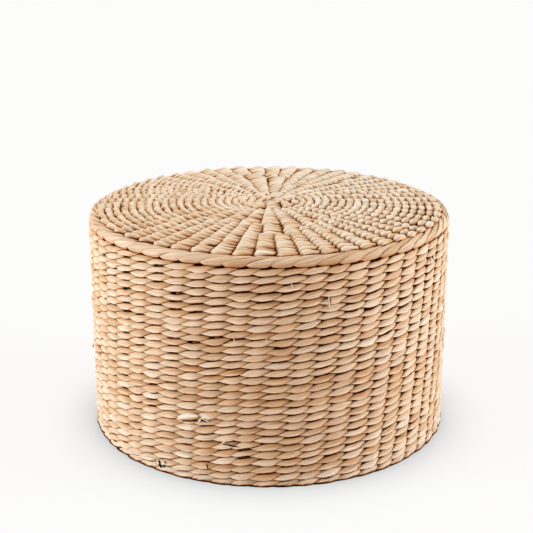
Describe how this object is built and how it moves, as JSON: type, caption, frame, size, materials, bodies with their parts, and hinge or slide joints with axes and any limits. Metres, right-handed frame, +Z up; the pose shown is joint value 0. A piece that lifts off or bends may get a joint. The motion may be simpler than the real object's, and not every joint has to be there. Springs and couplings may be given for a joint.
{
  "type": "woven stool",
  "caption": "Low round drum stool woven from dried reed over upright stakes, with a rope border at the rim and foot, round a welded rod frame.",
  "frame": {"origin": "middle of the underside, on the floor", "axes": "+Z up through the middle of the seat; the drum is round, and -Y is the side the picture shows"},
  "size_m": [0.42, 0.42, 0.263],
  "materials": {
    "reed_weave": "matte",
    "reed_border": "matte",
    "reed_stakes": "matte",
    "painted_rod": "satin",
    "plywood": "matte"
  },
  "bodies": {
    "root": {"seat_weave": "reed_weave", "side_weave": "reed_weave", "base_weave": "reed_weave", "stakes": "reed_stakes", "rim_border": "reed_border", "foot_border": "reed_border", "seat_board": "plywood", "frame_middle_ring": "painted_rod", "seat_frame_ring": "painted_rod", "seat_frame_hub": "painted_rod", "seat_frame_spoke_1": "painted_rod", "seat_frame_spoke_2": "painted_rod", "seat_frame_spoke_3": "painted_rod", "seat_frame_spoke_4": "painted_rod", "seat_frame_spoke_5": "painted_rod", "seat_frame_spoke_6": "painted_rod", "seat_frame_spoke_7": "painted_rod", "seat_frame_spoke_8": "painted_rod", "base_frame_ring": "painted_rod", "base_frame_hub": "painted_rod", "base_frame_spoke_1": "painted_rod", "base_frame_spoke_2": "painted_rod", "base_frame_spoke_3": "painted_rod", "base_frame_spoke_4": "painted_rod", "base_frame_spoke_5": "painted_rod", "base_frame_spoke_6": "painted_rod", "base_frame_spoke_7": "painted_rod", "base_frame_spoke_8": "painted_rod", "frame_upright_1": "painted_rod", "frame_upright_2": "painted_rod", "frame_upright_3": "painted_rod", "frame_upright_4": "painted_rod", "frame_upright_5": "painted_rod", "frame_upright_6": "painted_rod", "frame_upright_7": "painted_rod", "frame_upright_8": "painted_rod"}
  },
  "joints": []
}
